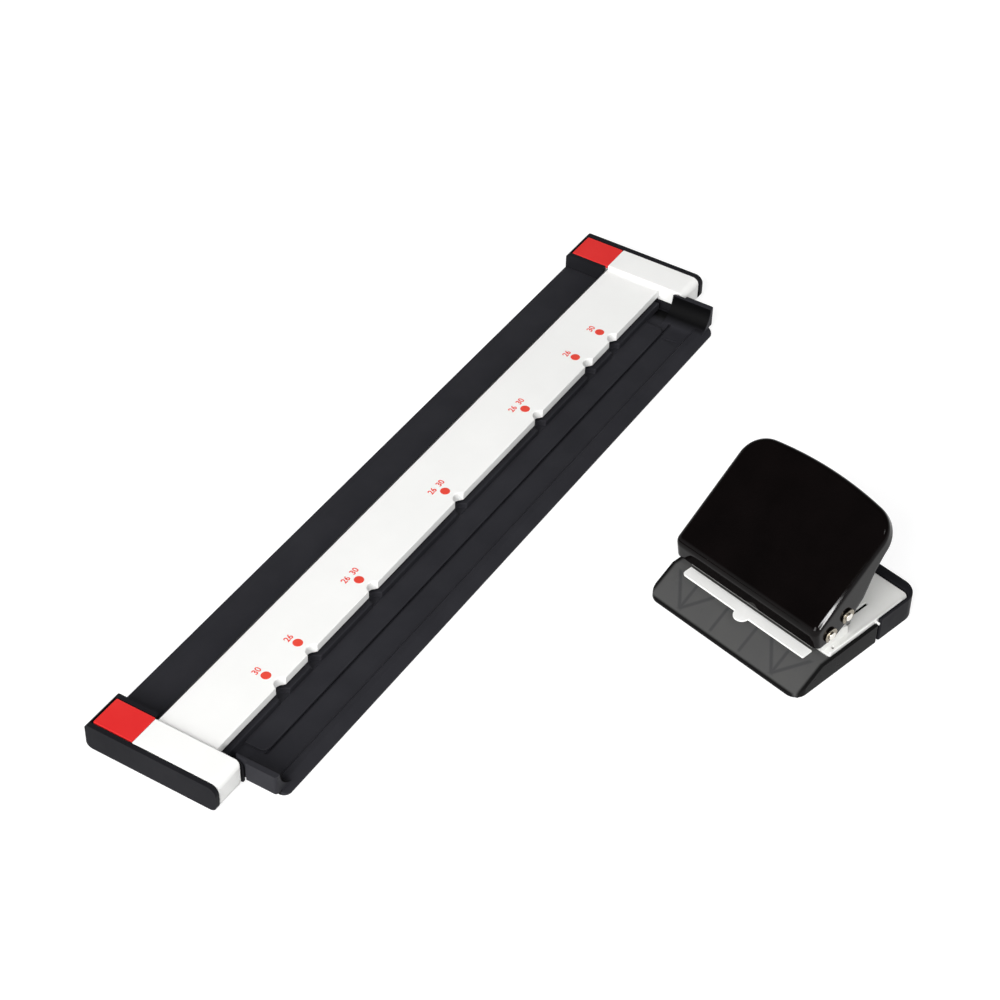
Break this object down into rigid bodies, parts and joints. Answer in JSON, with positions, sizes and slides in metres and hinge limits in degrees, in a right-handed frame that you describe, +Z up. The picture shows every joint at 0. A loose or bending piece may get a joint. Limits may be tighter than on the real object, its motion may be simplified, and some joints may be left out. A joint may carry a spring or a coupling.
{
  "type": "hole punch with paper gauge",
  "caption": "Paper punch set: a long gauge with a sprung, notched clamp bar, and a lever punch with a row of pins that steps along it to make loose-leaf binder holes.",
  "frame": {"origin": "middle of the gauge, on the desk it rests on", "axes": "+X along the gauge towards its far end, +Y to the gauge's rear edge, +Z up"},
  "size_m": [0.3348, 0.2088, 0.0549],
  "materials": {
    "black_moulding": "fine satin",
    "white_moulding": "satin",
    "red_moulding": "semi-gloss",
    "smoky_moulding": "smoky, slightly see-through",
    "black_steel": "gloss black",
    "white_steel": "satin white",
    "bright_steel": "ground",
    "grey_steel": "plain",
    "plated_steel": "plated",
    "rubber": "matt"
  },
  "bodies": {
    "gauge": {"paper_table": "black_moulding", "base_tray": "black_moulding", "guide_shelf": "black_moulding", "end_housing_near": "black_moulding", "end_housing_far": "black_moulding", "hinge_pins": "bright_steel", "clamp_springs": "bright_steel", "gauge_feet": "rubber", "gauge_screws": "plated_steel"},
    "clamp": {"clamp_bar": "white_moulding", "press_pad_near": "red_moulding", "press_pad_far": "red_moulding", "grip_strips": "rubber"},
    "punch": {"rear_base": "black_moulding", "frame_plate": "white_steel", "die_plate": "white_steel", "paper_stop": "grey_steel", "pin_guide": "grey_steel", "stack_rivets": "plated_steel", "frame_screws": "plated_steel", "pivot_pin": "plated_steel", "pivot_clips": "plated_steel", "rear_feet": "rubber", "return_springs": "bright_steel"},
    "lever": {"lever": "black_steel", "drive_pin": "plated_steel", "drive_clips": "plated_steel"},
    "pins": {"pin_holder": "grey_steel", "punch_pin_1": "bright_steel", "punch_pin_2": "bright_steel", "punch_pin_3": "bright_steel", "punch_pin_4": "bright_steel", "punch_pin_5": "bright_steel", "punch_pin_6": "bright_steel"},
    "tray": {"chip_tray": "smoky_moulding", "tray_feet": "rubber"}
  },
  "joints": [
    {"name": "clamp_lift", "type": "hinge", "parent": "gauge", "child": "clamp", "pos_m": [0, 0.0162, 0.0075], "axis": [-1, 0, 0], "range_deg": [0, 16], "stiffness_Nm_per_rad": 0.4, "springref_deg": -8.59, "deforming": ["clamp_springs"]},
    {"name": "punch_slide", "type": "slide", "parent": "gauge", "child": "punch", "axis": [1, 0, 0], "range_m": [-0.114, 0.114]},
    {"name": "lever_press", "type": "hinge", "parent": "punch", "child": "lever", "pos_m": [0.00977, -0.12745, 0.0197], "axis": [0.2419, 0.9703, 0], "range_deg": [0, 32], "stiffness_Nm_per_rad": 0.12, "springref_deg": -14.32},
    {"name": "pin_stroke", "type": "slide", "parent": "punch", "child": "pins", "axis": [0, 0, -1], "range_m": [0, 0.0052], "deforming": ["return_springs"]},
    {"name": "tray_pull", "type": "slide", "parent": "punch", "child": "tray", "axis": [-0.9703, 0.2419, 0], "range_m": [0, 0.03]}
  ],
  "couplings": [
    {"joint": "pin_stroke", "follows": "lever_press", "m_per_rad": 0.009046}
  ]
}
